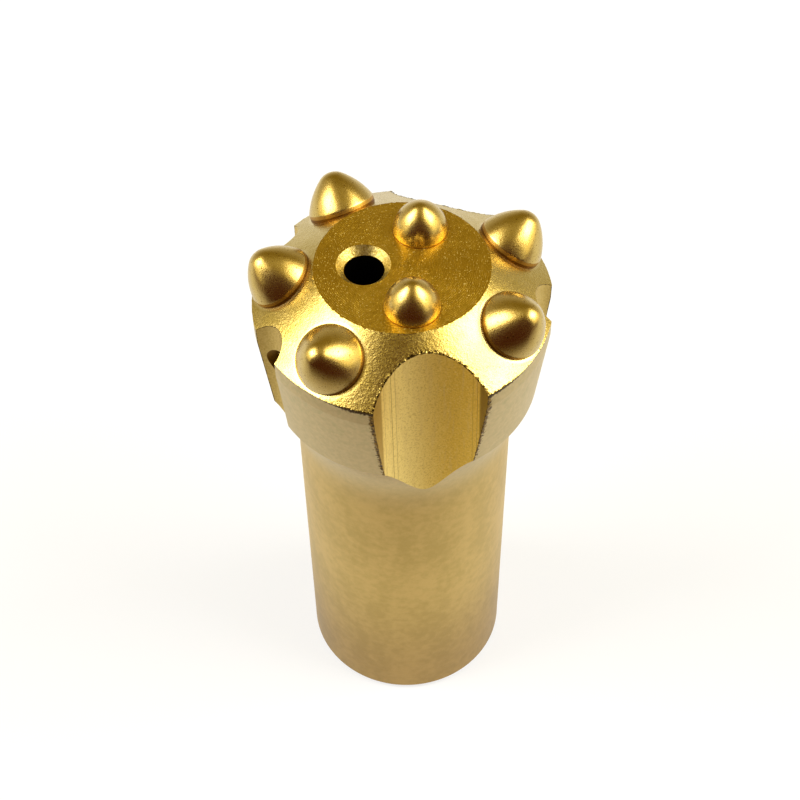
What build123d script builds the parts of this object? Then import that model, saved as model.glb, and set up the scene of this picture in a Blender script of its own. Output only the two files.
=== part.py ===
from build123d import *
from math import cos, radians, sin, sqrt, tan
import os

# A button bit for a rock drill, standing on the foot of its skirt.
# Millimetres, +Z up. The origin is the centre of the socket's mouth, on the bit's axis.
# Places round the axis are angles in degrees from +X. The face flushing hole lies towards -X.

# Steel body, outside
body_height = 86.2
skirt_diameter = 31.0
foot_chamfer = 0.9
neck_radius = 18.6
head_side_height = 14.9
gauge_land_height = 2.5
head_side_taper_angle = 6.2
gauge_edge_diameter = 40.5
face_diameter = 23.5
bevel_angle = 36.0

# Tapered socket for the drill rod, and the water bore above it
socket_mouth_diameter = 23.0
socket_cone_angle = 7.0
socket_depth = 52.0
socket_chamfer = 0.8
water_bore_diameter = 7.0
water_bore_length = 16.0
drill_point_angle = 118.0

# Flushing holes: one from the face to the socket's end, one from a groove to the water bore
face_hole_diameter = 5.4
face_hole_offset = 5.1
face_hole_angle = 181.0
face_hole_lean = 4.0
countersink_diameter = 7.3
countersink_angle = 84.0
side_hole_diameter = 5.4
side_hole_height = 74.1
side_hole_lean = 65.0
side_hole_angle = 209.0

# Flushing grooves, milled down the head by a round cutter. Their depths are measured level, in
# from the gauge edge. The wide grooves' cutter leans away from the axis downwards, so that they
# run out shallow.
wide_groove_diameter = 17.0
wide_groove_lean = 3.7
wide_groove_angles = (75.3, -75.3)
wide_groove_depths = (6.5, 6.0)
narrow_groove_diameter = 6.8
narrow_groove_depth = 2.55
narrow_groove_angles = (0.0, 151.0, side_hole_angle)

# Gauge buttons of hard metal, pressed into seats on the bevel. The inset is their distance in
# from the gauge edge, measured level.
gauge_button_diameter = 9.25
gauge_collar_height = 0.55
gauge_dome_height = 4.7
gauge_nose_radius = 2.5
gauge_shoulder_angle = 22.0
gauge_seat_depth = 7.5
gauge_button_inset = 4.05
gauge_button_lean = 37.0
gauge_button_angles = (29.0, 124.5, 180.5, 238.5, 335.0)

# Face buttons of hard metal, pressed into seats on the flat face. The inset is their distance in
# from the face's edge.
face_button_diameter = 7.5
face_collar_height = 0.25
face_dome_height = 4.15
face_nose_radius = 1.9
face_shoulder_angle = 9.0
face_seat_depth = 7.0
face_button_inset = 4.55
face_button_angles = (74.0, -76.0)

# What both kinds of button share
button_foot_chamfer = 0.8
seat_clearance = 0.0

# How far a cutting tool runs past the surface that it starts from
overrun = 2.0


def tangent(angle):
    """The tangent of an angle in degrees."""
    return tan(radians(angle))


def around(radius, direction, height):
    """The point at a radius and a direction round the axis, at a height."""
    return Vector(radius * cos(radians(direction)), radius * sin(radians(direction)), height)


def leaning(radius, direction, height, lean):
    """A plane there, whose normal leans from +Z away from the axis."""
    normal = around(sin(radians(lean)), direction, cos(radians(lean)))
    sideways = Vector(0, 0, 1).cross(around(1, direction, 0))
    return Plane(around(radius, direction, height), x_dir=sideways, z_dir=normal)


def turned(*edges):
    """A solid turned about the Z axis, from the edges of an outline of (radius, height) points."""
    return revolve(Plane.XZ * make_face(edges), Axis.Z)


def bore(plane, diameter, depth, length_outside=overrun):
    """A round cutting tool along a plane's normal, from a depth behind it to a length in front."""
    on_its_end = (Align.CENTER, Align.CENTER, Align.MIN)
    return plane.offset(-depth) * Cylinder(diameter / 2, depth + length_outside, align=on_its_end)


# Heights and radii of the body that follow from the sizes above
skirt_radius = skirt_diameter / 2
face_radius = face_diameter / 2
gauge_edge_radius = gauge_edge_diameter / 2
gauge_edge_height = body_height - (gauge_edge_radius - face_radius) * tangent(bevel_angle)
head_foot_height = gauge_edge_height - head_side_height
gauge_land_foot = gauge_edge_height - gauge_land_height
head_foot_radius = gauge_edge_radius - (gauge_land_foot - head_foot_height) * tangent(head_side_taper_angle)
neck_rise = sqrt(neck_radius**2 - (skirt_radius + neck_radius - head_foot_radius) ** 2)
neck_height = head_foot_height - neck_rise
narrow_groove_floor_radius = gauge_edge_radius - narrow_groove_depth
gauge_pitch_radius = gauge_edge_radius - gauge_button_inset
face_pitch_radius = face_radius - face_button_inset
gauge_seat_height = body_height - (gauge_pitch_radius - face_radius) * tangent(bevel_angle)


def body_blank():
    """The turned blank: chamfered foot, skirt, hollow neck arc, tapered head, land, bevel, face."""
    foot = [(0, body_height), (0, 0), (skirt_radius - foot_chamfer, 0), (skirt_radius, foot_chamfer)]
    skirt_top = (skirt_radius, neck_height)
    head_foot = (head_foot_radius, head_foot_height)
    gauge_land = [(gauge_edge_radius, gauge_land_foot), (gauge_edge_radius, gauge_edge_height)]
    return turned(
        Polyline(*foot, skirt_top),
        TangentArc(skirt_top, head_foot, tangent=(0, 1)),
        Polyline(head_foot, *gauge_land, (face_radius, body_height), (0, body_height)),
    )


def socket_cut():
    """The tapered socket with its chamfered mouth, its drill point and the water bore above."""
    slope = tangent(socket_cone_angle / 2)
    mouth_radius = socket_mouth_diameter / 2
    chamfer_height = socket_chamfer / (1 - slope)
    end_radius = mouth_radius - socket_depth * slope
    bore_radius = water_bore_diameter / 2
    bore_start = socket_depth + (end_radius - bore_radius) / tangent(drill_point_angle / 2)
    bore_end = socket_depth + water_bore_length
    point_height = bore_end + bore_radius / tangent(drill_point_angle / 2)
    return turned(
        Polyline(
            (0, -overrun),
            (mouth_radius + socket_chamfer + overrun, -overrun),
            (mouth_radius - chamfer_height * slope, chamfer_height),
            (end_radius, socket_depth),
            (bore_radius, bore_start),
            (bore_radius, bore_end),
            (0, point_height),
            close=True,
        )
    )


def groove_cut(diameter, depth, direction, lean=0):
    """One flushing groove, of a depth in from the gauge edge, where it crosses that edge."""
    axis_radius = gauge_edge_radius - depth + diameter / 2 / cos(radians(lean))
    cutter = leaning(axis_radius, direction, gauge_edge_height, -lean)
    length_down = gauge_edge_height - neck_height + overrun
    length_up = body_height - gauge_edge_height + overrun
    return bore(cutter, diameter, length_down, length_up)


def face_hole_cut():
    """The face flushing hole, with its countersink. It leans to the axis, down to the socket's end."""
    mouth = leaning(face_hole_offset, face_hole_angle, body_height, face_hole_lean)
    hole = bore(mouth, face_hole_diameter, (body_height - socket_depth) / cos(radians(face_hole_lean)))
    slope = tangent(countersink_angle / 2)
    depth = (countersink_diameter - face_hole_diameter) / 2 / slope
    sink = Cone(
        face_hole_diameter / 2,
        countersink_diameter / 2 + overrun * slope,
        depth + overrun,
        align=(Align.CENTER, Align.CENTER, Align.MIN),
    )
    return hole + Pos(around(face_hole_offset, face_hole_angle, body_height - depth)) * sink


def side_hole_cut():
    """The side flushing hole, from the floor of its narrow groove down to the axis."""
    mouth = leaning(narrow_groove_floor_radius, side_hole_angle, side_hole_height, side_hole_lean)
    depth = narrow_groove_floor_radius / sin(radians(side_hole_lean))
    return bore(mouth, side_hole_diameter, depth, side_hole_diameter)


def button(diameter, seat_depth, collar, dome, nose_radius, shoulder_angle):
    """A button standing on its foot: chamfer, shank, a flank arc from the shoulder, a round nose."""
    radius = diameter / 2
    shoulder = seat_depth + collar
    turn = radians(shoulder_angle)
    nose_rise = dome - nose_radius
    flank_radius = (radius**2 + nose_rise**2 - nose_radius**2) / (
        2 * (radius * cos(turn) - nose_rise * sin(turn) - nose_radius)
    )
    flank_centre = Vector(radius - flank_radius * cos(turn), shoulder - flank_radius * sin(turn))
    nose_centre = Vector(0, shoulder + nose_rise)
    outward = (nose_centre - flank_centre).normalized()
    blend = nose_centre + outward * nose_radius
    tip = (0, shoulder + dome)
    foot = [(0, 0), (radius - button_foot_chamfer, 0), (radius, button_foot_chamfer)]
    return turned(
        Polyline(tip, *foot, (radius, shoulder)),
        TangentArc((radius, shoulder), (blend.X, blend.Y), tangent=(-sin(turn), cos(turn))),
        TangentArc((blend.X, blend.Y), tip, tangent=(-outward.Y, outward.X)),
    )


def gauge_seat(direction):
    """The plane of a gauge button's seat, on the bevel, with its normal along the button."""
    return leaning(gauge_pitch_radius, direction, gauge_seat_height, gauge_button_lean)


def face_seat(direction):
    """The plane of a face button's seat, on the flat face."""
    return leaning(face_pitch_radius, direction, body_height, 0)


gauge_seats = [gauge_seat(direction) for direction in gauge_button_angles]
face_seats = [face_seat(direction) for direction in face_button_angles]

gauge_button = button(
    gauge_button_diameter,
    gauge_seat_depth,
    gauge_collar_height,
    gauge_dome_height,
    gauge_nose_radius,
    gauge_shoulder_angle,
)
face_button = button(
    face_button_diameter,
    face_seat_depth,
    face_collar_height,
    face_dome_height,
    face_nose_radius,
    face_shoulder_angle,
)

# The body, with everything cut from the blank
bit_body = body_blank() - socket_cut() - face_hole_cut() - side_hole_cut()
for direction, depth in zip(wide_groove_angles, wide_groove_depths):
    bit_body -= groove_cut(wide_groove_diameter, depth, direction, wide_groove_lean)
for direction in narrow_groove_angles:
    bit_body -= groove_cut(narrow_groove_diameter, narrow_groove_depth, direction)
for seat in gauge_seats:
    bit_body -= bore(seat, gauge_button_diameter + 2 * seat_clearance, gauge_seat_depth)
for seat in face_seats:
    bit_body -= bore(seat, face_button_diameter + 2 * seat_clearance, face_seat_depth)

# Named parts, one file each
parts = {"bit_body": bit_body}
for number, seat in enumerate(gauge_seats, start=1):
    parts[f"gauge_button_{number}"] = seat.offset(-gauge_seat_depth) * gauge_button
for number, seat in enumerate(face_seats, start=1):
    parts[f"face_button_{number}"] = seat.offset(-face_seat_depth) * face_button

os.makedirs("parts", exist_ok=True)
for name, shape in parts.items():
    export_step(shape, f"parts/{name}.step")
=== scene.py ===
import math

import bpy
import numpy as np
from mathutils import Matrix, Vector, noise


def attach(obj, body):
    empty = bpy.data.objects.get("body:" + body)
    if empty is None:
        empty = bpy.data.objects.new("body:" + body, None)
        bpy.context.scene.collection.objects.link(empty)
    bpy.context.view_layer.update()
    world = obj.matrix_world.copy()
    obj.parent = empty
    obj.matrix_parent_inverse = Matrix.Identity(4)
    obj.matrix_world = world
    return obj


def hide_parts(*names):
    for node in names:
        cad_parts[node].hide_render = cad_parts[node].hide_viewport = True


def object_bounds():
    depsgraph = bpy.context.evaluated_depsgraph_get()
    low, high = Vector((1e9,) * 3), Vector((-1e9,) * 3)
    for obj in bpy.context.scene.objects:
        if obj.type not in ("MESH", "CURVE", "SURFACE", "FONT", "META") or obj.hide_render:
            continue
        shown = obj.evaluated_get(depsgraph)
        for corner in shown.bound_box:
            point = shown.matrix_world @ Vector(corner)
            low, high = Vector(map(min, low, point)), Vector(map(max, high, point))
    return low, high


# A button bit for a rock drill, gold finished, on a pale studio floor. Metres, +Z up.
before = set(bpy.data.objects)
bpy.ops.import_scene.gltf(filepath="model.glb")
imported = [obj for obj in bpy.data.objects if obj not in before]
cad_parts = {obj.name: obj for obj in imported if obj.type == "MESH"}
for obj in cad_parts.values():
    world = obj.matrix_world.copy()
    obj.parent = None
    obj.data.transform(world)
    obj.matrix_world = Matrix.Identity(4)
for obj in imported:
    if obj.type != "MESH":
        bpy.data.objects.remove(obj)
cad_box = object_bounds()
MM = 0.001

# The camera stands where the picture was taken from. Angles are in degrees.
image_size = 800
focal_length_in_pixels = 1645.6
camera_azimuth = -85.9
camera_elevation = 53.82
camera_roll = -0.74
camera_distance = 250.1 * MM
aimed_height = 43.1 * MM
aimed_pixel = (404.7, 459.6)

# The steel body's sizes, as in the CAD model, in millimetres and degrees
body_height = 86.2
skirt_radius = 15.5
foot_chamfer = 0.9
neck_radius = 18.6
head_side_height = 14.9
gauge_land_height = 2.5
head_side_taper_angle = 6.2
gauge_edge_radius = 20.25
face_radius = 11.75
bevel_angle = 36.0
socket_mouth_radius = 11.5
socket_cone_angle = 7.0
socket_depth = 52.0
socket_chamfer = 0.8
water_bore_radius = 3.5
water_bore_length = 16.0
drill_point_angle = 118.0
flushing_hole_radius = 2.7
face_hole_offset = 5.1
face_hole_angle = 181.0
face_hole_lean = 4.0
countersink_radius = 3.65
countersink_angle = 84.0
side_hole_height = 74.1
side_hole_lean = 65.0
side_hole_angle = 209.0
wide_groove_radius = 8.5
wide_groove_lean = 3.7
wide_groove_angles = (75.3, -75.3)
wide_groove_depths = (6.5, 6.0)
narrow_groove_radius = 3.4
narrow_groove_depth = 2.55
narrow_groove_angles = (0.0, 151.0, side_hole_angle)
gauge_button_radius = 4.625
gauge_seat_depth = 7.5
gauge_button_inset = 4.05
gauge_button_lean = 37.0
gauge_button_angles = (29.0, 124.5, 180.5, 238.5, 335.0)
gauge_collar_height = 0.55
gauge_dome_height = 4.7
gauge_nose_radius = 2.5
gauge_shoulder_angle = 22.0
face_button_radius = 3.75
face_seat_depth = 7.0
face_button_inset = 4.55
face_button_angles = (74.0, -76.0)
face_collar_height = 0.25
face_dome_height = 4.15
face_nose_radius = 1.9
face_shoulder_angle = 9.0
button_foot_chamfer = 0.8


def tangent(angle):
    """The tangent of an angle in degrees."""
    return math.tan(math.radians(angle))


# Heights and radii of the body that follow from the sizes above
gauge_edge_height = body_height - (gauge_edge_radius - face_radius) * tangent(bevel_angle)
head_foot_height = gauge_edge_height - head_side_height
gauge_land_foot = gauge_edge_height - gauge_land_height
head_foot_radius = gauge_edge_radius - (gauge_land_foot - head_foot_height) * tangent(head_side_taper_angle)
neck_centre_radius = skirt_radius + neck_radius
neck_height = head_foot_height - math.sqrt(neck_radius**2 - (neck_centre_radius - head_foot_radius) ** 2)
gauge_pitch_radius = gauge_edge_radius - gauge_button_inset
gauge_seat_height = body_height - (gauge_pitch_radius - face_radius) * tangent(bevel_angle)
face_pitch_radius = face_radius - face_button_inset
narrow_groove_floor = gauge_edge_radius - narrow_groove_depth
countersink_slope = tangent(countersink_angle / 2)
countersink_foot = body_height - (countersink_radius - flushing_hole_radius) / countersink_slope


def direction(azimuth, elevation):
    """The unit vector towards an azimuth, measured from +X, and an elevation, in degrees."""
    a, e = math.radians(azimuth), math.radians(elevation)
    return Vector((math.cos(a) * math.cos(e), math.sin(a) * math.cos(e), math.sin(e)))


def add_object(name, data):
    """A new object in the scene."""
    made = bpy.data.objects.new(name, data)
    bpy.context.scene.collection.objects.link(made)
    return made


def add_node(tree, kind, inputs=None, **settings):
    """A new node of a tree. Its inputs are numbers, or sockets that are linked."""
    made = tree.nodes.new("ShaderNode" + kind)
    for name, value in settings.items():
        setattr(made, name, value)
    for key, value in (inputs or {}).items():
        if isinstance(value, bpy.types.NodeSocket):
            tree.links.new(value, made.inputs[key])
        else:
            made.inputs[key].default_value = value
    return made


def calculate(tree, operation, *values):
    """The result of one Math node."""
    return add_node(tree, "Math", dict(enumerate(values)), operation=operation).outputs[0]


def calculate_vector(tree, operation, *values):
    """The results of one Vector Math node."""
    return add_node(tree, "VectorMath", dict(enumerate(values)), operation=operation).outputs


def plain_shader(tree, kind, colour):
    """A background, glow or paper shader of one colour."""
    return add_node(tree, kind, {"Color": (*colour, 1)}).outputs[0]


def mix_shaders(tree, share, one, other):
    """A mix of two shaders."""
    return add_node(tree, "MixShader", {0: share, 1: one, 2: other}).outputs[0]


def ramp(tree, value, low, high, from_value=0.0, to_value=1.0):
    """A smooth change from one value to another, while the input goes from low to high."""
    inputs = {"Value": value, "From Min": low, "From Max": high, "To Min": from_value, "To Max": to_value}
    return add_node(tree, "MapRange", inputs, interpolation_type="SMOOTHSTEP").outputs[0]


# Camera, lamps, room and floor. Colours are linear red, green and blue.

softbox_target = Vector((0, 0, 75 * MM))
middle_distance = 1.2
sheet_distance = 1.3
sheet_colour = (1.0, 0.87, 0.42)
camera_side_brown = (0.065, 0.009, 0.0008)
white = (1.0, 1.0, 1.0)


def add_camera():
    """A camera that shows the aimed height of the bit's axis at the aimed pixel."""
    back = direction(camera_azimuth, camera_elevation)
    right = Vector((0, 0, 1)).cross(back).normalized()
    up = back.cross(right)
    turned = Matrix((right, up, back)).transposed() @ Matrix.Rotation(math.radians(camera_roll), 3, "Z")
    across = (aimed_pixel[0] - image_size / 2) / focal_length_in_pixels
    upward = (image_size / 2 - aimed_pixel[1]) / focal_length_in_pixels
    pan = Matrix.Rotation(math.atan(across), 3, "Y")
    tilt = Matrix.Rotation(-math.atan(upward / math.hypot(1, across)), 3, "X")
    data = bpy.data.cameras.new("camera")
    data.sensor_width = 36
    data.lens = focal_length_in_pixels / image_size * data.sensor_width
    data.clip_start, data.clip_end = 0.01, 100
    camera = add_object("camera", data)
    camera.matrix_world = (turned @ pan @ tilt).to_4x4()
    camera.location = Vector((0, 0, aimed_height)) + back * camera_distance
    bpy.context.scene.camera = camera


def add_lamp(name, towards, distance, width, height, radiance, colour):
    """A rectangular lamp that faces the bit's head."""
    data = bpy.data.lights.new(name, "AREA")
    data.shape = "RECTANGLE"
    data.size, data.size_y = width, height
    data.energy = 4 * radiance * width * height
    data.color = colour
    lamp = add_object(name, data)
    lamp.location = softbox_target + towards * distance
    lamp.rotation_euler = towards.to_track_quat("Z", "Y").to_euler()


def add_softbox(name, azimuth, elevation, width, height, bright, dim):
    """A softbox: a warm, dim sheet behind a bright middle. Its azimuth is counted from the camera."""
    towards = direction(camera_azimuth + azimuth, elevation - 6)
    add_lamp(name + "_sheet", towards, sheet_distance, 1.6 * width, 2.0 * height, dim, sheet_colour)
    towards = direction(camera_azimuth + azimuth, elevation)
    add_lamp(name + "_middle", towards, middle_distance, 0.82 * width, 0.82 * height, bright, white)


def add_world():
    """A warm room: pale walls, a dimmer ceiling, and dark brown behind the camera."""
    world = bpy.data.worlds.new("studio")
    world.use_nodes = True
    tree = world.node_tree
    tree.nodes.clear()
    towards = add_node(tree, "TexCoord").outputs["Generated"]
    height = add_node(tree, "SeparateXYZ", {0: towards}).outputs["Z"]
    camera_side = tuple(direction(camera_azimuth - 5, 16))
    facing = calculate_vector(tree, "DOT_PRODUCT", towards, camera_side)["Value"]
    walls = plain_shader(tree, "Background", (0.62, 0.55, 0.40))
    upper_walls = plain_shader(tree, "Background", (0.29, 0.20, 0.018))
    ceiling = plain_shader(tree, "Background", (0.44, 0.34, 0.09))
    brown = plain_shader(tree, "Background", camera_side_brown)
    room = mix_shaders(tree, ramp(tree, height, 0.1, 0.62), walls, upper_walls)
    room = mix_shaders(tree, ramp(tree, height, 0.88, 1.0), room, ceiling)
    room = mix_shaders(tree, ramp(tree, facing, 0.55, 0.85), room, brown)
    path = add_node(tree, "LightPath").outputs
    seen = calculate(tree, "MAXIMUM", path["Is Camera Ray"], path["Is Transmission Ray"])
    shown = mix_shaders(tree, seen, room, plain_shader(tree, "Background", white))
    add_node(tree, "OutputWorld", {"Surface": shown})
    bpy.context.scene.world = world


def plain_sheet(name, corners, faces):
    """A sheet of the studio with a new material, of which it returns the empty tree."""
    mesh = bpy.data.meshes.new(name)
    mesh.from_pydata(corners, [], faces)
    sheet = add_object(name, mesh)
    material = bpy.data.materials.new(name)
    material.use_nodes = True
    material.node_tree.nodes.clear()
    mesh.materials.append(material)
    return sheet, material.node_tree


def add_floor():
    """A wide white floor that keeps the bit's shadow. Reflections see it fall off to brown in front."""
    half_size, height = 4.0, -0.02 * MM
    falloff_start, falloff_length = 12 * MM, 100 * MM
    glow_share = 0.7
    corners = [(x * half_size, y * half_size, height) for x, y in ((-1, -1), (1, -1), (1, 1), (-1, 1))]
    _, tree = plain_sheet("floor", corners, [(0, 1, 2, 3)])
    path = add_node(tree, "LightPath").outputs
    place = add_node(tree, "TexCoord").outputs["Object"]
    paper = plain_shader(tree, "BsdfDiffuse", (0.83, 0.86, 0.97))
    brown = plain_shader(tree, "BsdfDiffuse", (0.09, 0.03, 0.006))
    glow = plain_shader(tree, "Emission", white)
    camera_side = tuple(direction(camera_azimuth - 4, 0))
    forward = calculate_vector(tree, "DOT_PRODUCT", place, camera_side)["Value"]
    forward = calculate(tree, "SUBTRACT", forward, falloff_start)
    forward = calculate(tree, "MAXIMUM", calculate(tree, "DIVIDE", forward, falloff_length), 0.0)
    left = calculate(tree, "EXPONENT", calculate(tree, "MULTIPLY", forward, -1.0))
    fallen = calculate(tree, "MULTIPLY", calculate(tree, "SUBTRACT", 1.0, left), path["Is Glossy Ray"])
    seen = calculate(tree, "MAXIMUM", path["Is Camera Ray"], path["Is Transmission Ray"])
    seen = calculate(tree, "MAXIMUM", seen, path["Is Glossy Ray"])
    lit = mix_shaders(tree, calculate(tree, "MULTIPLY", seen, glow_share), paper, glow)
    add_node(tree, "OutputMaterial", {"Surface": mix_shaders(tree, fallen, lit, brown)})


def add_screen():
    """A curved dark screen before the bit. Only the metal's reflections show it."""
    radius, height = 130 * MM, 170 * MM
    fade_height = 55 * MM
    first_angle, last_angle = -58, 46
    parts = 14
    corners, faces = [], []
    for step in range(parts + 1):
        angle = camera_azimuth + first_angle + (last_angle - first_angle) * step / parts
        foot = direction(angle, 0) * radius
        corners += [(foot.x, foot.y, 0), (foot.x, foot.y, height)]
    for step in range(parts):
        faces.append((2 * step, 2 * step + 2, 2 * step + 3, 2 * step + 1))
    screen, tree = plain_sheet("dark_screen", corners, faces)
    screen.visible_camera = screen.visible_diffuse = screen.visible_shadow = False
    place = add_node(tree, "TexCoord").outputs["Object"]
    above_floor = add_node(tree, "SeparateXYZ", {0: place}).outputs["Z"]
    low = plain_shader(tree, "Emission", (0.28, 0.23, 0.14))
    high = plain_shader(tree, "Emission", camera_side_brown)
    mixed = mix_shaders(tree, ramp(tree, above_floor, 0.0, fade_height), low, high)
    add_node(tree, "OutputMaterial", {"Surface": mixed})


# The body's surfaces. Each is a function that gives the distance of points from the surface, in
# millimetres, and the direction in which that distance grows.


def around(radius, angle, height):
    """The point at a radius and an angle round the axis, at a height."""
    a = math.radians(angle)
    return np.array((radius * math.cos(a), radius * math.sin(a), height))


def leaning(angle, lean):
    """A unit vector that leans from +Z away from the axis."""
    return around(math.sin(math.radians(lean)), angle, math.cos(math.radians(lean)))


def flat(point, normal):
    """A flat surface through a point."""
    def measure(points):
        return (points - point) @ normal, np.broadcast_to(normal, points.shape)
    return measure


def turned_line(start, end):
    """A cone or cylinder round +Z, through two (radius, height) points."""
    along = np.subtract(end, start) / math.dist(start, end)
    outward, upward = along[1], -along[0]

    def measure(points):
        radius = np.hypot(points[:, 0], points[:, 1])
        gap = (radius - start[0]) * outward + (points[:, 2] - start[1]) * upward
        away = points[:, :2] / np.maximum(radius, 1e-6)[:, None]
        return gap, np.column_stack((away * outward, np.full(len(points), upward)))
    return measure


def turned_arc(centre, arc_radius):
    """A hollow neck round +Z, from the (radius, height) centre of its arc."""
    def measure(points):
        radius = np.hypot(points[:, 0], points[:, 1])
        across, up = radius - centre[0], points[:, 2] - centre[1]
        reach = np.hypot(across, up)
        away = points[:, :2] / np.maximum(radius, 1e-6)[:, None]
        return reach - arc_radius, np.column_stack((away * (across / reach)[:, None], up / reach))
    return measure


def round_wall(point, axis, radius, slope=0.0):
    """A cylinder round an axis, or a cone that opens along it."""
    def measure(points):
        apart = points - point
        height = apart @ axis
        out = apart - height[:, None] * axis
        reach = np.linalg.norm(out, axis=1)
        steep = math.hypot(1, slope)
        gap = (reach - radius - slope * height) / steep
        return gap, (out / np.maximum(reach, 1e-6)[:, None] - slope * axis) / steep
    return measure


def wide_groove(angle, depth):
    """The place and the axis of the cutter of a wide groove."""
    reach = gauge_edge_radius - depth + wide_groove_radius / math.cos(math.radians(wide_groove_lean))
    return around(reach, angle, gauge_edge_height), leaning(angle, -wide_groove_lean)


def gauge_seat(angle):
    """The middle of the mouth of a gauge button's seat, and its axis."""
    return around(gauge_pitch_radius, angle, gauge_seat_height), leaning(angle, gauge_button_lean)


def face_seat(angle):
    """The middle of the mouth of a face button's seat, and its axis."""
    return around(face_pitch_radius, angle, body_height), leaning(angle, 0)


def body_surfaces():
    """All surfaces of the steel body, by name."""
    up = np.array((0.0, 0.0, 1.0))
    taper = tangent(socket_cone_angle / 2)
    chamfer_height = socket_chamfer / (1 - taper)
    chamfer_radius = socket_mouth_radius - chamfer_height * taper
    chamfer_foot = (socket_mouth_radius + socket_chamfer, 0)
    socket_end = socket_mouth_radius - socket_depth * taper
    point_slope = tangent(drill_point_angle / 2)
    bore_start = socket_depth + (socket_end - water_bore_radius) / point_slope
    bore_end = socket_depth + water_bore_length
    bore_tip = bore_end + water_bore_radius / point_slope
    gauge_edge = (gauge_edge_radius, gauge_edge_height)
    land_foot = (gauge_edge_radius, gauge_land_foot)
    face_hole = around(face_hole_offset, face_hole_angle, body_height)
    side_hole = around(narrow_groove_floor, side_hole_angle, side_hole_height)
    made = {
        "face": flat(up * body_height, up),
        "bevel": turned_line((face_radius, body_height), gauge_edge),
        "land": turned_line(gauge_edge, land_foot),
        "side": turned_line(land_foot, (head_foot_radius, head_foot_height)),
        "neck": turned_arc((neck_centre_radius, neck_height), neck_radius),
        "skirt": turned_line((skirt_radius, neck_height), (skirt_radius, foot_chamfer)),
        "foot_chamfer": turned_line((skirt_radius, foot_chamfer), (skirt_radius - foot_chamfer, 0)),
        "foot": flat(up * 0, up),
        "socket_chamfer": turned_line(chamfer_foot, (chamfer_radius, chamfer_height)),
        "socket": turned_line((socket_mouth_radius, 0), (socket_end, socket_depth)),
        "socket_end": turned_line((socket_end, socket_depth), (water_bore_radius, bore_start)),
        "water_bore": turned_line((water_bore_radius, bore_start), (water_bore_radius, bore_end)),
        "water_bore_end": turned_line((water_bore_radius, bore_end), (0, bore_tip)),
        "face_hole": round_wall(face_hole, leaning(face_hole_angle, face_hole_lean), flushing_hole_radius),
        "countersink": round_wall(face_hole, up, countersink_radius, countersink_slope),
        "countersink_ledge": flat(up * countersink_foot, up),
        "side_hole": round_wall(side_hole, leaning(side_hole_angle, side_hole_lean), flushing_hole_radius),
    }
    for number, (angle, depth) in enumerate(zip(wide_groove_angles, wide_groove_depths), start=1):
        made[f"wide_groove_{number}"] = round_wall(*wide_groove(angle, depth), wide_groove_radius)
    for number, angle in enumerate(narrow_groove_angles, start=1):
        centre = around(narrow_groove_floor + narrow_groove_radius, angle, 0)
        made[f"narrow_groove_{number}"] = round_wall(centre, up, narrow_groove_radius)
    for number, angle in enumerate(gauge_button_angles, start=1):
        mouth, axis = gauge_seat(angle)
        made[f"gauge_seat_{number}"] = round_wall(mouth, axis, gauge_button_radius)
        made[f"gauge_seat_floor_{number}"] = flat(mouth - axis * gauge_seat_depth, axis)
    for number, angle in enumerate(face_button_angles, start=1):
        mouth, axis = face_seat(angle)
        made[f"face_seat_{number}"] = round_wall(mouth, axis, face_button_radius)
        made[f"face_seat_floor_{number}"] = flat(mouth - axis * face_seat_depth, axis)
    return made


# The longest edge that each kind of surface may keep, in millimetres
longest_edges = {
    "face": 0.40,
    "bevel": 0.27,
    "land": 0.40,
    "side": 0.55,
    "neck": 0.80,
    "skirt": 1.5,
    "foot_chamfer": 0.5,
    "foot": 1.5,
    "socket_chamfer": 1.0,
    "socket": 2.5,
    "countersink": 0.25,
    "countersink_ledge": 0.3,
    "face_hole": 0.8,
    "side_hole": 0.8,
    "wide_groove": 0.40,
    "narrow_groove": 0.40,
}
longest_elsewhere = 4.0


def kind_of(name):
    """A surface's name without its number."""
    return name.rstrip("_12345")


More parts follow.
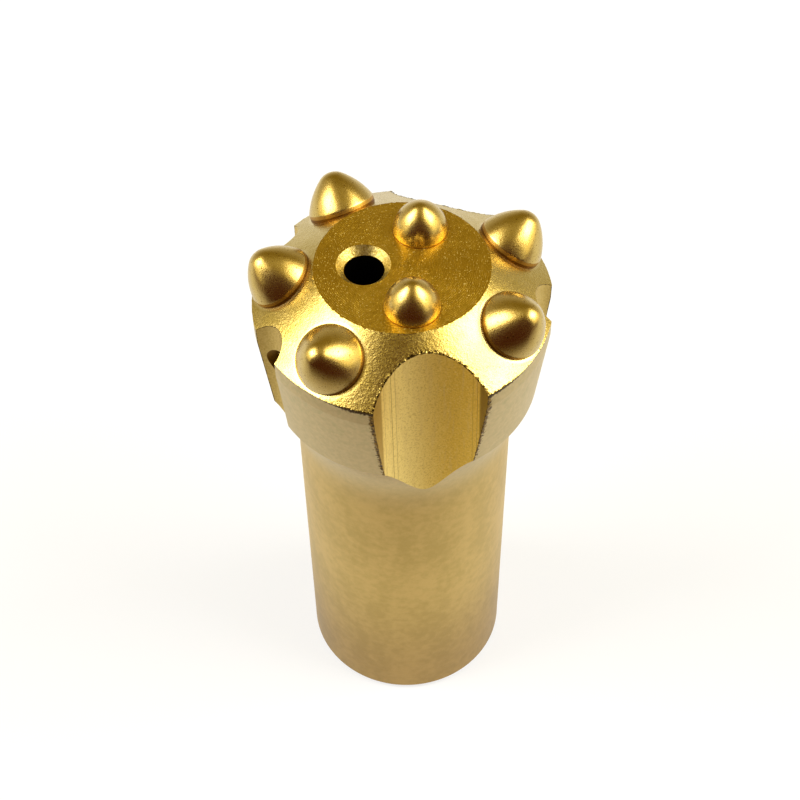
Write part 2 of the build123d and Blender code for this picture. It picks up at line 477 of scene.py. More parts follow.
class BodyMesh:
    """The body's triangles, refined so that its surfaces can carry a fine relief."""

    def __init__(self, mesh):
        named = body_surfaces()
        self.names = list(named)
        self.surfaces = list(named.values())
        longest = [longest_edges.get(kind_of(name), longest_elsewhere) for name in self.names]
        self.longest = np.array(longest)
        self.read(mesh)
        self.find_zones()

    def read(self, mesh):
        """Takes over a mesh's welded points, in millimetres, and its triangles."""
        mesh.calc_loop_triangles()
        points = np.empty(len(mesh.vertices) * 3)
        mesh.vertices.foreach_get("co", points)
        points = points.reshape(-1, 3) / MM
        triangles = np.empty(len(mesh.loop_triangles) * 3, int)
        mesh.loop_triangles.foreach_get("vertices", triangles)
        _, first, place = np.unique(np.round(points, 3), axis=0, return_index=True, return_inverse=True)
        triangles = place.ravel()[triangles].reshape(-1, 3)
        whole = (triangles != np.roll(triangles, 1, axis=1)).all(axis=1)
        self.points = points[first]
        self.triangles = triangles[whole]

    def normals(self, triangles):
        """The unit normals of some triangles."""
        a, b, c = self.points[triangles].transpose(1, 0, 2)
        normal = np.cross(b - a, c - a)
        return normal / np.maximum(np.linalg.norm(normal, axis=1), 1e-12)[:, None]

    def find_zones(self):
        """Finds the surface of each triangle, and the one or two surfaces of each point."""
        normals = self.normals(self.triangles)
        middles = self.points[self.triangles].mean(axis=1)
        cost = []
        for measure in self.surfaces:
            farthest = np.abs(measure(self.points)[0])[self.triangles].max(axis=1)
            facing = np.abs((normals * measure(middles)[1]).sum(axis=1))
            cost.append(farthest * 20 + 1 - facing)
        self.zones = np.argmin(cost, axis=0)
        self.owners = np.full((len(self.points), 2), -1)
        for number in range(len(self.surfaces)):
            touched = np.unique(self.triangles[self.zones == number])
            free = self.owners[touched, 0] < 0
            self.owners[touched[free], 0] = number
            self.owners[touched[~free], 1] = number
        inner = self.owners[:, 1] < 0
        self.owners[inner, 1] = self.owners[inner, 0]

    def codes(self, one, other):
        """One number for each edge between two points, whichever of them comes first."""
        return np.minimum(one, other) * len(self.points) + np.maximum(one, other)

    def edges(self):
        """The edges, each triangle's three edge numbers, and each edge's two triangles."""
        one = self.triangles.ravel()
        other = np.roll(self.triangles, -1, axis=1).ravel()
        count = len(self.points)
        codes, place = np.unique(self.codes(one, other), return_inverse=True)
        sides = (np.argsort(place, kind="stable") // 3).reshape(-1, 2)
        return np.column_stack((codes // count, codes % count)), place.reshape(-1, 3), sides

    def project(self, points, owners, rounds=6):
        """Moves points onto their one or two surfaces."""
        for _ in range(rounds):
            for kinds in owners.T:
                for number in np.unique(kinds):
                    chosen = kinds == number
                    gap, way = self.surfaces[number](points[chosen])
                    points[chosen] -= gap[:, None] * way
        return points

    def split_long_edges(self):
        """Halves each edge that is too long for the surfaces beside it."""
        edges, place, sides = self.edges()
        length = np.linalg.norm(self.points[edges[:, 0]] - self.points[edges[:, 1]], axis=1)
        cut = length > self.longest[self.zones[sides]].min(axis=1)
        middle = np.full(len(edges), -1)
        middle[cut] = len(self.points) + np.arange(cut.sum())
        owners = self.zones[sides[cut]]
        fresh = self.project(self.points[edges[cut]].mean(axis=1), owners)
        self.points = np.vstack((self.points, fresh))
        self.owners = np.vstack((self.owners, owners))
        mid = middle[place]
        count = (mid >= 0).sum(axis=1)
        # Each triangle is turned so that its only cut side comes first, or its only whole side last
        turn = np.where(count == 1, (mid >= 0).argmax(axis=1), (mid < 0).argmax(axis=1) + 1) * (count < 3)
        places = (np.arange(3) + turn[:, None]) % 3
        a, b, c = np.take_along_axis(self.triangles, places, axis=1).T
        ab, bc, ca = np.take_along_axis(mid, places, axis=1).T
        short = np.linalg.norm(self.points[a] - self.points[bc], axis=1)
        short = short < np.linalg.norm(self.points[ab] - self.points[c], axis=1)
        pieces = [
            (count == 0, (a, b, c)),
            (count == 1, (a, ab, c)),
            (count == 1, (ab, b, c)),
            (count == 2, (ab, b, bc)),
            ((count == 2) & short, (a, ab, bc)),
            ((count == 2) & short, (a, bc, c)),
            ((count == 2) & ~short, (a, ab, c)),
            ((count == 2) & ~short, (ab, bc, c)),
            (count == 3, (a, ab, ca)),
            (count == 3, (ab, b, bc)),
            (count == 3, (ca, bc, c)),
            (count == 3, (ab, bc, ca)),
        ]
        self.triangles = np.vstack([np.column_stack(corners)[chosen] for chosen, corners in pieces])
        self.zones = np.concatenate([self.zones[chosen] for chosen, _ in pieces])

    def angle_at(self, corner, left, right):
        """The angle at a corner between two points."""
        a, b = self.points[left] - self.points[corner], self.points[right] - self.points[corner]
        return np.arctan2(np.linalg.norm(np.cross(a, b), axis=1), (a * b).sum(axis=1))

    def flip_edges(self, sweeps):
        """Turns the edge between two triangles of one surface where that makes them less slender."""
        for _ in range(sweeps):
            edges, place, sides = self.edges()
            tips = self.triangles[sides].sum(axis=2) - edges.sum(axis=1)[:, None]
            bad = self.angle_at(tips[:, 0], *edges.T) + self.angle_at(tips[:, 1], *edges.T) - math.pi
            bad[self.zones[sides[:, 0]] != self.zones[sides[:, 1]]] = -1
            worst = place[np.arange(len(self.triangles)), bad[place].argmax(axis=1)]
            agreed = (worst[sides] == np.arange(len(edges))[:, None]).all(axis=1)
            number = np.flatnonzero(agreed & (bad > 1e-3))
            if not len(number):
                break
            one, other = sides[number].T
            old = self.triangles[one]
            tip, far = tips[number].T
            at = (old == tip[:, None]).argmax(axis=1)
            row = np.arange(len(old))
            left, right = old[row, (at + 1) % 3], old[row, (at + 2) % 3]
            new_one, new_other = np.column_stack((tip, left, far)), np.column_stack((tip, far, right))
            # No edge is made twice, and no pair of triangles folds over
            made = self.codes(tip, far)
            safe = np.zeros(len(made), bool)
            safe[np.unique(made, return_index=True)[1]] = True
            safe &= ~np.isin(made, self.codes(*edges.T))
            before = self.normals(old)
            for new in (new_one, new_other):
                safe &= (self.normals(new) * before).sum(axis=1) > 0.5
            self.triangles[one[safe]] = new_one[safe]
            self.triangles[other[safe]] = new_other[safe]

    def sum_at(self, places, vectors):
        """The sum of the vectors that belong to each point."""
        return np.column_stack([np.bincount(places, part, len(self.points)) for part in vectors.T])

    def relax(self, rounds):
        """Evens out the points inside each surface."""
        edges = self.edges()[0]
        both = np.concatenate((edges, edges[:, ::-1]))
        count = np.bincount(both[:, 0], minlength=len(self.points))
        free = self.owners[:, 0] == self.owners[:, 1]
        for _ in range(rounds):
            middle = self.sum_at(both[:, 0], self.points[both[:, 1]])[free] / count[free, None]
            moved = self.points[free] * 0.4 + middle * 0.6
            self.points[free] = self.project(moved, self.owners[free, :1], 1)

    def refine(self):
        """Splits, turns and evens out the triangles until all surfaces are fine enough."""
        for _ in range(6):
            self.split_long_edges()
            self.flip_edges(5)
            self.relax(2)
        self.flip_edges(4)

    def owned_by(self, *kinds):
        """Which points lie on a surface of these kinds, or on its edge."""
        numbers = [number for number, name in enumerate(self.names) if kind_of(name) in kinds]
        return np.isin(self.owners, numbers).any(axis=1)

    def gap(self, *kinds):
        """The distance of each point from the nearest surface of these kinds."""
        chosen = [measure for name, measure in zip(self.names, self.surfaces) if kind_of(name) in kinds]
        return np.min([np.abs(measure(self.points)[0]) for measure in chosen], axis=0)

    def outward(self):
        """Each point's normal, evened out over the triangles round it."""
        a, b, c = self.points[self.triangles].transpose(1, 0, 2)
        weighted = np.cross(b - a, c - a)
        total = sum(self.sum_at(corner, weighted) for corner in self.triangles.T)
        return total / np.maximum(np.linalg.norm(total, axis=1), 1e-12)[:, None]


def across_wide_grooves(points):
    """How far points of the wide grooves lie from the groove's middle line, along its round wall."""
    found, apart_from_wall = [], []
    for angle, depth in zip(wide_groove_angles, wide_groove_depths):
        centre, axis = wide_groove(angle, depth)
        apart = points - centre
        inward = leaning(angle, -90 - wide_groove_lean)
        across, deep = apart @ np.cross(axis, inward), apart @ inward
        found.append(np.arctan2(across, deep) * wide_groove_radius)
        apart_from_wall.append(np.abs(np.hypot(across, deep) - wide_groove_radius))
    return np.where(apart_from_wall[0] < apart_from_wall[1], found[0], found[1])


def waves(points, size, place=0.0):
    """Smooth noise from -1 to 1, with features of a size in millimetres."""
    return np.array([noise.noise(point) for point in (points / size + place).tolist()])


# Heights of the relief, in millimetres. A burr fades out over its reach.
grain_heights = {
    "face": 0.004,
    "bevel": 0.008,
    "land": 0.010,
    "side": 0.008,
    "neck": 0.006,
    "skirt": 0.005,
    "wide_groove": 0.005,
    "narrow_groove": 0.005,
}
groove_burr_height, groove_burr_reach = 0.12, 0.20
rim_burr_height, rim_burr_reach = 0.04, 0.15
face_edge_burr_height = 0.09
calm_reach = 0.35


def add_relief(body):
    """Raises and sinks the refined points: blasted grain, mottling, and burrs along milled edges."""
    points = body.points
    radius = np.hypot(points[:, 0], points[:, 1])
    body.to_groove = body.gap("wide_groove")
    body.to_mouth = body.gap("narrow_groove")
    body.to_seat = body.gap("gauge_seat", "face_seat")
    body.to_outside = body.gap("bevel", "land", "side")
    body.to_rim = np.hypot(radius - gauge_edge_radius, points[:, 2] - gauge_edge_height)
    body.across = across_wide_grooves(points)
    outward = body.outward()
    rise = np.zeros(len(points))
    coarse, fine, broad = waves(points, 0.50), waves(points, 0.26, 7.3), waves(points, 1.6, 3.1)
    jagged = np.maximum(waves(points, 0.42, 11.7), -0.2) + 0.5 * waves(points, 0.21, 5.9)
    calm = 1 - np.exp(-((body.to_seat / calm_reach) ** 2))
    for kind, height in grain_heights.items():
        inside = body.owned_by(kind)
        rise[inside] = height * (calm * (coarse + 0.5 * fine + 0.8 * broad * (kind != "bevel")))[inside]
    outer = body.owned_by("bevel", "land", "side")
    burr = groove_burr_height * jagged * np.exp(-body.to_groove / groove_burr_reach)
    burr += rim_burr_height * jagged * np.exp(-body.to_rim / rim_burr_reach)
    rise[outer] += burr[outer]
    rise[~body.owned_by(*grain_heights)] = 0
    rise[body.owned_by("gauge_seat", "face_seat")] = 0
    moved = points + outward * rise[:, None]
    face_edge = body.owned_by("face") & body.owned_by("bevel")
    moved[face_edge, :2] *= 1 + (face_edge_burr_height * jagged / np.maximum(radius, 1))[face_edge, None]
    low, high = (np.array(corner) / MM for corner in cad_box)
    body.points = np.clip(moved, low, high)


# Gold finishes. Colours are linear red, green and blue, and lengths are millimetres.

# Dark brown of the burrs along milled edges, partly painted shade under their lips
burr_and_shade_brown = (0.06, 0.035, 0.006)
# Black painted shade deep inside holes and seats
hole_shade_black = (0.004, 0.003, 0.002)


class Finish:
    """One material: its nodes, and short calls for what the finishes share."""

    def __init__(self, name):
        self.material = bpy.data.materials.new(name)
        self.material.use_nodes = True
        self.tree = self.material.node_tree
        self.shader = self.tree.nodes["Principled BSDF"]
        self.shader.inputs["Metallic"].default_value = 1
        self.place = add_node(self.tree, "TexCoord").outputs["Object"]
        self.height = add_node(self.tree, "SeparateXYZ", {0: self.place}).outputs["Z"]

    def set(self, **values):
        """Sets or links the shader's inputs. An underscore stands for a space."""
        for name, value in values.items():
            socket = self.shader.inputs[name.replace("_", " ")]
            if isinstance(value, bpy.types.NodeSocket):
                self.tree.links.new(value, socket)
            else:
                socket.default_value = value

    def cloud(self, size, detail=2.0, roughness=0.5, stretch=(1, 1, 1)):
        """Noise from 0 to 1 with features of a size."""
        place = calculate_vector(self.tree, "MULTIPLY", self.place, stretch)[0]
        inputs = {"Vector": place, "Scale": 1 / (size * MM), "Detail": detail, "Roughness": roughness}
        return add_node(self.tree, "TexNoise", inputs).outputs["Fac"]

    def stored(self, name):
        """A number stored at the mesh's points."""
        return add_node(self.tree, "Attribute", attribute_name=name).outputs["Fac"]

    def ramp(self, *values):
        """A smooth change between two values, as ramp makes it."""
        return ramp(self.tree, *values)

    def multiply(self, one, other):
        """One value times another."""
        return calculate(self.tree, "MULTIPLY", one, other)

    def line(self, distance, place, half_width):
        """One on a line at a place, and nothing beyond its half width."""
        apart = calculate(self.tree, "ABSOLUTE", calculate(self.tree, "SUBTRACT", distance, place))
        return self.ramp(apart, half_width, 0.4 * half_width)

    def edge(self, name, width, raggedness=1.6):
        """One along an edge, up to a ragged distance."""
        ragged = calculate(self.tree, "SUBTRACT", self.cloud(0.35, 2.0, 0.6), 0.5)
        distance = calculate(self.tree, "ADD", self.stored(name), self.multiply(ragged, raggedness))
        return self.ramp(distance, width, self.multiply(width, 0.6))

    def mix(self, share, one, other):
        """A mix of two colours, each a socket or three numbers."""
        first_colour_input, colour_output = 6, 2
        inputs = {"Factor": share}
        for number, colour in enumerate((one, other), start=first_colour_input):
            inputs[number] = (*colour, 1) if isinstance(colour, tuple) else colour
        return add_node(self.tree, "Mix", inputs, data_type="RGBA").outputs[colour_output]

    def bump(self, height, depth, before=None):
        """A bump of a depth, over another bump if there is one before it."""
        inputs = {"Height": height, "Distance": depth * MM}
        if before:
            inputs["Normal"] = before
        return add_node(self.tree, "Bump", inputs).outputs[0]


def bevel_finish():
    """Gold over shot-blasted steel: a crinkled grain of bright and olive specks, dark burr lines along the
    grooves and the gauge edge that are partly painted shade, and a painted highlight round each seat.
    """
    finish = Finish("blasted_gold")
    grain = finish.cloud(0.24, 2.0, 0.7)
    patches = finish.cloud(2.4)
    colour = finish.mix(finish.ramp(patches, 0.35, 0.65), (0.56, 0.42, 0.115), (0.60, 0.455, 0.145))
    colour = finish.mix(finish.ramp(grain, 0.38, 0.25), colour, (0.42, 0.28, 0.04))
    arch_width = finish.ramp(finish.stored("across"), 3.0, -1.0, 0.12, 0.21)
    # Dark burr line along the grooves' edges, partly painted shade under the burr
    colour = finish.mix(finish.edge("to_groove", arch_width, 1.2), colour, burr_and_shade_brown)
    # Dark burr line along the gauge edge near the grooves, partly painted shade under the burr
    near_corner = finish.ramp(finish.stored("to_groove"), 6.5, 3.5)
    rim = finish.multiply(finish.edge("to_rim", 0.12, 0.8), near_corner)
    colour = finish.mix(rim, colour, burr_and_shade_brown)
    # Painted highlight: a pale ring round each seat, where its edge catches the light
    seat_ring_highlight = finish.ramp(finish.stored("to_seat"), 0.55, 0.15, 0.0, 0.6)
    colour = finish.mix(seat_ring_highlight, colour, (0.70, 0.56, 0.26))
    depth = finish.multiply(grain, finish.ramp(finish.stored("to_seat"), 0.3, 0.7))
    finish.set(Base_Color=colour, Roughness=finish.ramp(grain, 0.3, 0.7, 0.32, 0.22))
    finish.set(Normal=finish.bump(depth, 0.030))
    return finish.material


def face_finish():
    """Gold over a turned face: darker, with fine rings, a few sparks, and painted shade round the seats."""
    finish = Finish("turned_gold")
    level_place = calculate_vector(finish.tree, "MULTIPLY", finish.place, (1, 1, 0))[0]
    radius = calculate_vector(finish.tree, "LENGTH", level_place)["Value"]
    wobble = finish.multiply(finish.cloud(1.5), 0.3 * MM)
    turns = calculate(finish.tree, "DIVIDE", calculate(finish.tree, "ADD", radius, wobble), 0.26 * MM)
    ring = calculate(finish.tree, "SINE", finish.multiply(turns, 2 * math.pi))
    speck = finish.cloud(0.22, 2.0, 0.6)
    broad = finish.cloud(1.2, 3.0, 0.6)
    base = finish.mix(finish.ramp(broad, 0.3, 0.7), (0.60, 0.385, 0.038), (0.70, 0.46, 0.056))
    colour = finish.mix(finish.ramp(speck, 0.63, 0.69), base, (0.95, 0.78, 0.28))
    colour = finish.mix(finish.ramp(speck, 0.37, 0.31), colour, (0.42, 0.24, 0.018))
    # Painted shade in the gap at the edge of each seat
    colour = finish.mix(finish.ramp(finish.stored("to_seat"), 0.06, 0.02), colour, (0.20, 0.09, 0.008))
    normal = finish.bump(finish.ramp(ring, -1.0, 1.0), 0.018)
    rough = finish.ramp(speck, 0.62, 0.68, 0.30, 0.55)
    finish.set(Base_Color=colour, Roughness=rough, Normal=finish.bump(speck, 0.035, normal))
    return finish.material


def wide_groove_finish():
    """Gold over a wide milled groove: matt, finely mottled, paler towards one side, with tool lines,
    painted shade in bands on its steep side walls, and a dark burr line along its edges that is partly
    painted shade.
    """
    finish = Finish("milled_gold")
    across = finish.stored("across")
    mottle = finish.cloud(0.26, 4.0, 0.7)
    streaks = finish.cloud(0.5, 2.0, 0.5, (1, 1, 0.06))
    colour = finish.mix(finish.ramp(across, -4.5, 3.2), (0.80, 0.53, 0.066), (0.95, 0.74, 0.235))
    colour = finish.mix(finish.ramp(mottle, 0.50, 0.36, 0.0, 0.45), colour, (0.46, 0.28, 0.04))
    colour = finish.mix(finish.ramp(mottle, 0.54, 0.66, 0.0, 0.40), colour, (1.0, 0.80, 0.30))
    colour = finish.mix(finish.ramp(streaks, 0.5, 0.75, 0.0, 0.35), colour, (0.74, 0.54, 0.18))
    # Painted shade in bands on the steep side walls near the groove's edges
    colour = finish.mix(finish.ramp(across, 6.6, 7.0, 0.0, 0.8), colour, (0.42, 0.26, 0.04))
    colour = finish.mix(finish.ramp(across, -7.5, -7.9, 0.0, 0.9), colour, (0.27, 0.16, 0.008))
    # Each tool line's place across the groove, its half width and the share of its colour
    tool_lines = (
        (6.2, 0.08, 0.30),
        (5.15, 0.05, 0.25),
        (4.85, 0.10, 0.55),
        (4.15, 0.08, 0.40),
        (-6.6, 0.10, 0.30),
        (-7.3, 0.07, 0.55),
        (-8.2, 0.07, 0.50),
    )
    for place, half_width, share in tool_lines:
        line = finish.multiply(finish.line(across, place, half_width), share)
        colour = finish.mix(line, colour, (0.26, 0.15, 0.02))
    # Dark burr line along the groove's edges, partly painted shade under the burr
    colour = finish.mix(finish.edge("to_outside", 0.10, 0.4), colour, (0.10, 0.06, 0.01))
    finish.set(Base_Color=colour, Roughness=0.46, Normal=finish.bump(mottle, 0.03))
    return finish.material


def narrow_groove_finish():
    """Gold over the narrow milled grooves: matt and finely mottled, with a dark burr line along their edges
    that is partly painted shade.
    """
    finish = Finish("narrow_milled_gold")
    mottle = finish.cloud(0.26, 4.0, 0.7)
    colour = finish.mix(finish.ramp(mottle, 0.35, 0.65), (0.52, 0.37, 0.085), (0.67, 0.50, 0.155))
    # Dark burr line along the groove's edges, partly painted shade under the burr
    colour = finish.mix(finish.edge("to_outside", 0.10, 0.4), colour, (0.12, 0.07, 0.01))
    finish.set(Base_Color=colour, Roughness=0.46, Normal=finish.bump(mottle, 0.02))
    return finish.material


def side_finish():
    """Gold over the head's side and the skirt: matt, tan and softly mottled, with stains, painted shade
    towards the foot, and dark burr bands along the grooves and the gauge edge that are partly painted
    shade.
    """
    finish = Finish("matt_gold")
    mottle = finish.cloud(0.7, 3.0, 0.6)
    hammered = finish.cloud(1.3, 3.0, 0.55)
    broad = finish.cloud(7.0, 3.0, 0.5, (1.6, 1.6, 0.7))
    patches = finish.multiply(calculate(finish.tree, "ADD", hammered, broad), 0.5)
    upper = finish.mix(finish.ramp(mottle, 0.3, 0.7), (0.535, 0.43, 0.205), (0.61, 0.48, 0.235))
    lower = finish.mix(finish.ramp(patches, 0.36, 0.64), (0.53, 0.378, 0.108), (0.63, 0.447, 0.144))
    # Painted shade: the skirt darkens towards the foot, where the floor shades it
    foot = finish.mix(finish.ramp(patches, 0.36, 0.64), (0.345, 0.222, 0.064), (0.415, 0.268, 0.083))
    lower = finish.mix(finish.ramp(finish.height, 2 * MM, 34 * MM), foot, lower)
    high = finish.ramp(finish.height, 50 * MM, 62 * MM)
    colour = finish.mix(high, lower, upper)
    stains = finish.ramp(finish.cloud(1.8, 4.0, 0.65), 0.50, 0.64, 0.0, 0.30)
    stained = finish.multiply(stains, finish.ramp(finish.height, 68 * MM, 77 * MM))
    colour = finish.mix(stained, colour, (0.38, 0.365, 0.15))
    # Dark ragged burr band beside the wide grooves, wider towards the head's top, partly painted shade
    # under the burr
    burr_and_shade_width = finish.ramp(finish.height, 65 * MM, 79 * MM, 0.20, 0.70)
    on_head = finish.ramp(finish.height, 63 * MM, 65 * MM)
    burr = finish.multiply(finish.edge("to_groove", burr_and_shade_width), on_head)
    crumbled = finish.ramp(finish.cloud(0.3, 2.0, 0.6), 0.42, 0.55)
    burr_and_shade_colour = finish.mix(crumbled, (0.045, 0.024, 0.004), (0.28, 0.17, 0.03))
    colour = finish.mix(burr, colour, burr_and_shade_colour)
    # Dark burr line along the gauge edge near the grooves, partly painted shade under the burr
    near_corner = finish.ramp(finish.stored("to_groove"), 8.5, 4.0, 0.15, 1.0)
    rim_width = finish.ramp(finish.stored("to_groove"), 7.0, 1.0, 0.35, 0.60)
    rim = finish.multiply(finish.edge("to_rim", rim_width, 1.0), near_corner)
    colour = finish.mix(rim, colour, burr_and_shade_brown)
    bumped = finish.bump(mottle, 0.012, finish.bump(hammered, 0.022))
    finish.set(Base_Color=colour, Roughness=0.44, Normal=bumped)
    return finish.material


def hole_finish():
    """Gold that turns to black painted shade just inside the face's flushing hole, and black painted shade
    in the seats.
    """
    finish = Finish("hole_gold")
    inside = finish.ramp(finish.height, (countersink_foot + 0.05) * MM, (countersink_foot - 0.15) * MM)
    finish.set(Base_Color=finish.mix(inside, (0.50, 0.30, 0.04), hole_shade_black), Roughness=0.6)
    return finish.material


def side_hole_finish():
    """The side hole's wall: brown at its mouth, turning to black painted shade further inside."""
    finish = Finish("side_hole_gold")
    deep = finish.ramp(finish.stored("to_mouth"), 0.5, 3.0)
    finish.set(Base_Color=finish.mix(deep, (0.35, 0.20, 0.03), hole_shade_black), Roughness=0.6)
    return finish.material


def countersink_finish():
    """Bright gold with chatter marks."""
    finish = Finish("countersunk_gold")
    centre = around(face_hole_offset * MM, face_hole_angle, 0)
    apart = calculate_vector(finish.tree, "SUBTRACT", finish.place, tuple(centre))[0]
    sides = add_node(finish.tree, "SeparateXYZ", {0: apart}).outputs
    angle = calculate(finish.tree, "ARCTAN2", sides["Y"], sides["X"])
    chatter_marks = 34.0
    chatter = calculate(finish.tree, "SINE", finish.multiply(angle, chatter_marks))
    mottle = finish.cloud(0.25, 3.0, 0.65)
    colour = finish.mix(finish.ramp(mottle, 0.35, 0.65), (0.42, 0.30, 0.06), (0.66, 0.54, 0.22))
    normal = finish.bump(finish.ramp(chatter, -1.0, 1.0), 0.003)
    finish.set(Base_Color=colour, Roughness=0.36, Normal=finish.bump(mottle, 0.045, normal))
    return finish.material


def socket_finish():
    """The socket: gold at its mouth, and bare turned steel further in."""
    finish = Finish("socket_steel")
    mottle = finish.cloud(0.6, 3.0)
    steel = finish.mix(mottle, (0.16, 0.145, 0.13), (0.26, 0.24, 0.22))
    inside = finish.ramp(finish.height, 2 * MM, 12 * MM)
    finish.set(Base_Color=finish.mix(inside, (0.55, 0.38, 0.09), steel), Roughness=0.45)
    finish.set(Normal=finish.bump(mottle, 0.02))
    return finish.material


def button_finish(name, collar_height):
    """Smooth gold over hard metal, with a few fine pits, a collar painted browner as shade, and darker
    painted shade in the gap at the seat.
    """
    finish = Finish(name)
    cloud = finish.cloud(0.30, 3.0, 0.65)
    fine = finish.cloud(0.16, 1.0)
    broad = finish.cloud(1.5, 2.0)
    colour = finish.mix(finish.ramp(broad, 0.3, 0.7), (0.565, 0.41, 0.12), (0.595, 0.44, 0.145))
    colour = finish.mix(finish.ramp(cloud, 0.37, 0.33), colour, (0.20, 0.10, 0.008))
    height = finish.stored("above_seat")
    collar = finish.ramp(height, collar_height + 0.03, collar_height - 0.06)
    # Painted shade: the collar, low between the dome and the seat, is browner
    colour = finish.mix(finish.multiply(collar, 0.80), colour, (0.41, 0.205, 0.024))
    # Painted shade in the gap where the button meets its seat
    colour = finish.mix(finish.ramp(height, 0.06, 0.02), colour, (0.19, 0.08, 0.007))
    rough = finish.ramp(cloud, 0.3, 0.7, 0.30, 0.25)
    rough = calculate(finish.tree, "MAXIMUM", rough, finish.multiply(collar, 0.42))
    finish.set(Base_Color=colour, Roughness=rough)
    finish.set(Normal=finish.bump(fine, 0.005, finish.bump(cloud, 0.012)))
    return finish.material


# The buttons

segments = 96
flank_steps = 26
nose_steps = 12


def arc(centre, radius, start, end, steps):
    """Points of an arc between two angles from the outline's +radius direction."""
    angles = np.radians(np.linspace(start, end, steps + 1))
    return [(centre[0] + radius * math.cos(a), centre[1] + radius * math.sin(a)) for a in angles]


def button_outline(radius, depth, collar, dome, nose_radius, shoulder_angle):
    """A button's (radius, height) points, from its foot to its tip. Height 0 is the seat's mouth."""
    turn = math.radians(shoulder_angle)
    rise = dome - nose_radius
    flank_radius = (radius**2 + rise**2 - nose_radius**2) / (
        2 * (radius * math.cos(turn) - rise * math.sin(turn) - nose_radius)
    )
    centre = (radius - flank_radius * math.cos(turn), collar - flank_radius * math.sin(turn))
    blend = math.degrees(math.atan2(collar + rise - centre[1], -centre[0]))
    foot = [(0, -depth), (radius - button_foot_chamfer, -depth), (radius, button_foot_chamfer - depth)]
    shank = [(radius, height) for height in (-0.3, 0.0, 0.12, collar - 0.06)]
    flank = arc(centre, flank_radius, shoulder_angle + 0.4, blend, flank_steps)
    nose = arc((0, collar + rise), nose_radius, blend, 90, nose_steps)
    return foot + shank + flank + nose[1:]


def add_button(name, outline, material, top, axis, angle):
    """One button with its shape turned about its own axis, in place of the plain solid."""
    points = [(0, 0, outline[0][1])]
    for radius, height in outline[1:-1]:
        for step in range(segments):
            a = 2 * math.pi * step / segments
            points.append((radius * math.cos(a), radius * math.sin(a), height))
    points.append((0, 0, outline[-1][1]))
    faces = []
    last_ring = len(points) - 1 - segments
    for step in range(segments):
        after = (step + 1) % segments
        faces.append((0, 1 + after, 1 + step))
        faces.append((last_ring + step, last_ring + after, len(points) - 1))
        for ring in range(1, last_ring, segments):
            faces.append((ring + step, ring + after, ring + segments + after, ring + segments + step))
    sideways = np.cross((0, 0, 1), around(1, angle, 0))
    placed = top + np.array(points) @ (sideways, np.cross(axis, sideways), axis)
    placed = np.clip(placed * MM, *cad_box)
    mesh = bpy.data.meshes.new(name + "_finished")
    mesh.from_pydata(placed.tolist(), [], faces)
    mesh.set_sharp_from_angle(angle=math.radians(30))
    mesh.materials.append(material)
    stored = mesh.attributes.new("above_seat", "FLOAT", "POINT")
    stored.data.foreach_set("value", [height for _, _, height in points])
    piece = add_object(name + "_finished", mesh)
    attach(piece, "root")
    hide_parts(name)


def build_buttons():
    """All buttons, each in its seat."""
    shape = (gauge_collar_height, gauge_dome_height, gauge_nose_radius, gauge_shoulder_angle)
    outline = button_outline(gauge_button_radius, gauge_seat_depth, *shape)
    material = button_finish("gauge_button_gold", gauge_collar_height)
    for number, angle in enumerate(gauge_button_angles, start=1):
        add_button(f"gauge_button_{number}", outline, material, *gauge_seat(angle), angle)
    shape = (face_collar_height, face_dome_height, face_nose_radius, face_shoulder_angle)
    outline = button_outline(face_button_radius, face_seat_depth, *shape)
    material = button_finish("face_button_gold", face_collar_height)
    for number, angle in enumerate(face_button_angles, start=1):
        add_button(f"face_button_{number}", outline, material, *face_seat(angle), angle)


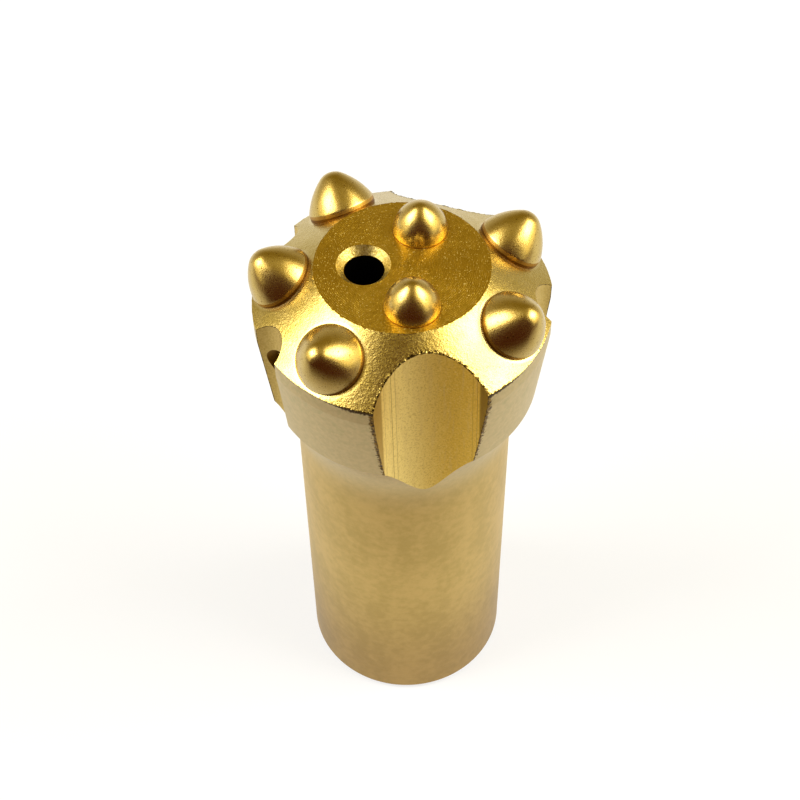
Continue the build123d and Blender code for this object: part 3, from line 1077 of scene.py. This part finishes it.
def build_body():
    """The steel body with its relief and finishes, in place of the plain solid."""
    body = BodyMesh(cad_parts["bit_body"].data)
    body.refine()
    add_relief(body)
    seats = ("gauge_seat", "gauge_seat_floor", "face_seat", "face_seat_floor")
    finishes = {
        ("bevel",): bevel_finish(),
        ("face",): face_finish(),
        ("wide_groove",): wide_groove_finish(),
        ("narrow_groove",): narrow_groove_finish(),
        ("land", "side", "neck", "skirt", "foot_chamfer", "foot"): side_finish(),
        ("face_hole", "countersink_ledge", *seats): hole_finish(),
        ("side_hole",): side_hole_finish(),
        ("countersink",): countersink_finish(),
        ("socket_chamfer", "socket", "socket_end", "water_bore", "water_bore_end"): socket_finish(),
    }
    slot_of_kind = {kind: slot for slot, kinds in enumerate(finishes) for kind in kinds}
    slots = np.array([slot_of_kind[kind_of(name)] for name in body.names])
    mesh = bpy.data.meshes.new("bit_body_finished")
    mesh.from_pydata((body.points * MM).tolist(), [], body.triangles.tolist())
    for material in finishes.values():
        mesh.materials.append(material)
    mesh.polygons.foreach_set("material_index", slots[body.zones])
    farthest = 20
    for name in ("to_groove", "to_mouth", "to_seat", "to_rim", "to_outside", "across"):
        stored = mesh.attributes.new(name, "FLOAT", "POINT")
        stored.data.foreach_set("value", np.clip(getattr(body, name), -farthest, farthest))
    mark_sharp_edges(body, mesh)
    piece = add_object("bit_body_finished", mesh)
    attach(piece, "root")
    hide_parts("bit_body")


def mark_sharp_edges(body, mesh):
    """Keeps the edges between surfaces crisp, apart from the two that flow into each other."""
    flowing = [("land", "side"), ("neck", "skirt")]
    edges, _, sides = body.edges()
    pair = body.zones[sides]
    sharp = pair[:, 0] != pair[:, 1]
    for kinds in flowing:
        numbers = [body.names.index(kind) for kind in kinds]
        sharp &= ~np.isin(pair, numbers).all(axis=1)
    ends = np.empty(len(mesh.edges) * 2, int)
    mesh.edges.foreach_get("vertices", ends)
    marked = np.isin(body.codes(*ends.reshape(-1, 2).T), body.codes(*edges[sharp].T))
    mesh.attributes.new("sharp_edge", "BOOLEAN", "EDGE").data.foreach_set("value", marked)


bpy.context.scene.view_settings.view_transform = "Standard"
add_camera()
add_world()
add_floor()
add_screen()
add_softbox("softbox_left", azimuth=-83, elevation=43, width=0.78, height=0.84, bright=6.2, dim=0.75)
add_softbox("softbox_right", azimuth=83, elevation=43, width=0.90, height=0.82, bright=5.4, dim=1.10)

build_body()
build_buttons()
